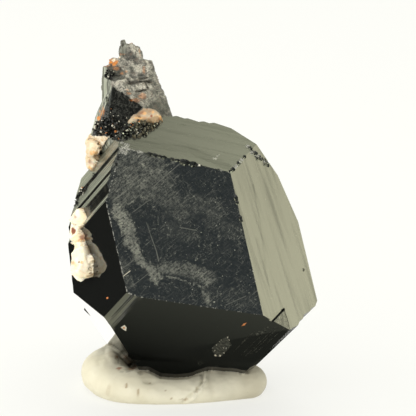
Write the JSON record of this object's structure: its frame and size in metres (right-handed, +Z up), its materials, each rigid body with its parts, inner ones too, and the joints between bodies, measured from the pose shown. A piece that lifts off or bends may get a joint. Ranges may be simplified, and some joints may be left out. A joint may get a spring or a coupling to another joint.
{
  "type": "schorl tourmaline crystal specimen",
  "caption": "Stubby black tourmaline crystal with a smaller crystal on its shoulder, feldspar grains on its flank, standing in a roll of mounting putty.",
  "frame": {"origin": "on the ground under the middle of the whole part", "axes": "+Z up as it stands, -Y towards the viewer of its main face, +X to the right"},
  "size_m": [0.0456, 0.0552, 0.0677],
  "materials": {
    "schorl": "opaque black, glassy, striated, with frosted patches and fine scratches",
    "feldspar": "cream to white grains with orange iron stain, pearly cleavage faces",
    "stained_feldspar": "pinkish cream grain with rust-coloured film",
    "putty": "dull pale grey-cream kneaded putty with small dirt marks"
  },
  "bodies": {
    "root": {"schorl_crystals": "schorl", "feldspar_flank": "feldspar", "feldspar_shoulder": "feldspar", "feldspar_saddle": "stained_feldspar", "mounting_putty": "putty"}
  },
  "joints": []
}
